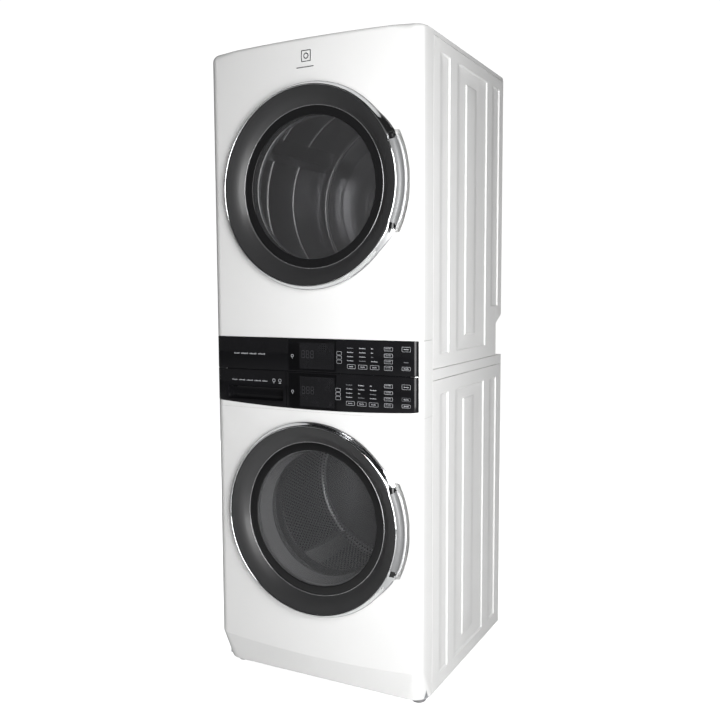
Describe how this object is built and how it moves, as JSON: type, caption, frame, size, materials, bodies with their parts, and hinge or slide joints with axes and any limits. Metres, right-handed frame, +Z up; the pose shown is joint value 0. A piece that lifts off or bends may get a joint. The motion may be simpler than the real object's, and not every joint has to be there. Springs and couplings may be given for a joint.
{
  "type": "washer dryer stack",
  "caption": "Tall laundry tower: front-loading washer below, dryer above, shared touch console with detergent drawer between them.",
  "frame": {"origin": "middle of the footprint, on the floor", "axes": "+Z up, doors and console face -Y, +X to the right of a person facing the doors"},
  "size_m": [0.686, 0.71, 1.889],
  "materials": {
    "white_panel": "gloss enamel",
    "zinc_sheet": "galvanised",
    "console_black": "high gloss",
    "chrome_ring": "polished",
    "dark_trim": "satin gloss",
    "door_glass": "tinted",
    "drum_steel": "stainless",
    "grey_plastic": "moulded",
    "white_plastic": "moulded",
    "grey_rubber": "matte",
    "cast_weight": "cast",
    "board": "solder mask"
  },
  "bodies": {
    "cabinet": {"washer_cabinet": "white_panel", "stacking_frame": "white_panel", "dryer_cabinet": "white_panel", "top_panel": "white_panel", "dryer_front_panel": "white_panel", "washer_front_panel": "white_panel", "console_frame": "white_panel", "base_frame": "zinc_sheet", "washer_rear_cover": "zinc_sheet", "dryer_hinge_bracket": "zinc_sheet", "washer_hinge_bracket": "zinc_sheet", "tub_spring_left": "zinc_sheet", "tub_spring_right": "zinc_sheet", "dryer_front_bulkhead": "zinc_sheet", "dryer_rear_bulkhead": "zinc_sheet", "exhaust_duct": "zinc_sheet", "heater_housing": "zinc_sheet", "dryer_console_glass": "console_black", "washer_console_glass": "console_black", "badge": "chrome_ring", "washer_tub": "grey_plastic", "tub_damper_left": "grey_plastic", "tub_damper_right": "grey_plastic", "drain_pump": "grey_plastic", "blower_housing": "grey_plastic", "drawer_housing": "white_plastic", "inlet_valve": "white_plastic", "door_bellows": "grey_rubber", "drive_belt": "grey_rubber", "tub_counterweight": "cast_weight", "motor_stator": "cast_weight", "dryer_motor": "cast_weight", "control_board": "board"},
    "dryer_door": {"dryer_door_ring": "chrome_ring", "dryer_door_trim": "dark_trim", "dryer_door_window": "door_glass", "dryer_door_frame": "grey_plastic", "dryer_door_hinge_leaf": "zinc_sheet"},
    "washer_door": {"washer_door_ring": "chrome_ring", "washer_door_trim": "dark_trim", "washer_door_window": "door_glass", "washer_door_frame": "grey_plastic", "washer_door_hinge_leaf": "zinc_sheet", "washer_door_bowl": "door_glass"},
    "detergent_drawer": {"detergent_drawer": "console_black"},
    "dryer_drum": {"dryer_drum": "drum_steel", "dryer_lifter_1": "drum_steel", "dryer_lifter_2": "drum_steel", "dryer_lifter_3": "drum_steel"},
    "washer_drum": {"washer_drum": "drum_steel", "washer_lifter_1": "grey_plastic", "washer_lifter_2": "grey_plastic", "washer_lifter_3": "grey_plastic", "motor_rotor": "zinc_sheet"},
    "blower": {"blower_wheel": "grey_plastic"},
    "lint_filter": {"lint_filter": "grey_plastic"},
    "foot_front_left": {"foot_front_left": "grey_rubber"},
    "foot_front_right": {"foot_front_right": "grey_rubber"},
    "foot_rear_left": {"foot_rear_left": "grey_rubber"},
    "foot_rear_right": {"foot_rear_right": "grey_rubber"}
  },
  "joints": [
    {"name": "dryer_door_hinge", "type": "hinge", "parent": "cabinet", "child": "dryer_door", "pos_m": [-0.288, -0.337, 1.474], "axis": [0, 0, -1], "range_deg": [0, 120]},
    {"name": "washer_door_hinge", "type": "hinge", "parent": "cabinet", "child": "washer_door", "pos_m": [-0.288, -0.337, 0.513], "axis": [0, 0, -1], "range_deg": [0, 120]},
    {"name": "drawer_slide", "type": "slide", "parent": "cabinet", "child": "detergent_drawer", "axis": [0, -1, 0], "range_m": [0, 0.24]},
    {"name": "dryer_drum_spin", "type": "hinge", "parent": "cabinet", "child": "dryer_drum", "pos_m": [0, 0, 1.474], "axis": [0, -1, 0], "continuous": true},
    {"name": "washer_drum_spin", "type": "hinge", "parent": "cabinet", "child": "washer_drum", "pos_m": [0, 0, 0.513], "axis": [0, -1, 0], "continuous": true},
    {"name": "blower_spin", "type": "hinge", "parent": "cabinet", "child": "blower", "pos_m": [-0.12, 0, 1.064], "axis": [0, -1, 0], "continuous": true},
    {"name": "lint_filter_slide", "type": "slide", "parent": "cabinet", "child": "lint_filter", "axis": [0, 0, 1], "range_m": [0, 0.15]},
    {"name": "foot_front_left_screw", "type": "slide", "parent": "cabinet", "child": "foot_front_left", "axis": [0, 0, -1], "range_m": [0, 0.015]},
    {"name": "foot_front_right_screw", "type": "slide", "parent": "cabinet", "child": "foot_front_right", "axis": [0, 0, -1], "range_m": [0, 0.015]},
    {"name": "foot_rear_left_screw", "type": "slide", "parent": "cabinet", "child": "foot_rear_left", "axis": [0, 0, -1], "range_m": [0, 0.015]},
    {"name": "foot_rear_right_screw", "type": "slide", "parent": "cabinet", "child": "foot_rear_right", "axis": [0, 0, -1], "range_m": [0, 0.015]}
  ],
  "couplings": [
    {"joint": "blower_spin", "follows": "dryer_drum_spin", "ratio": 21}
  ]
}
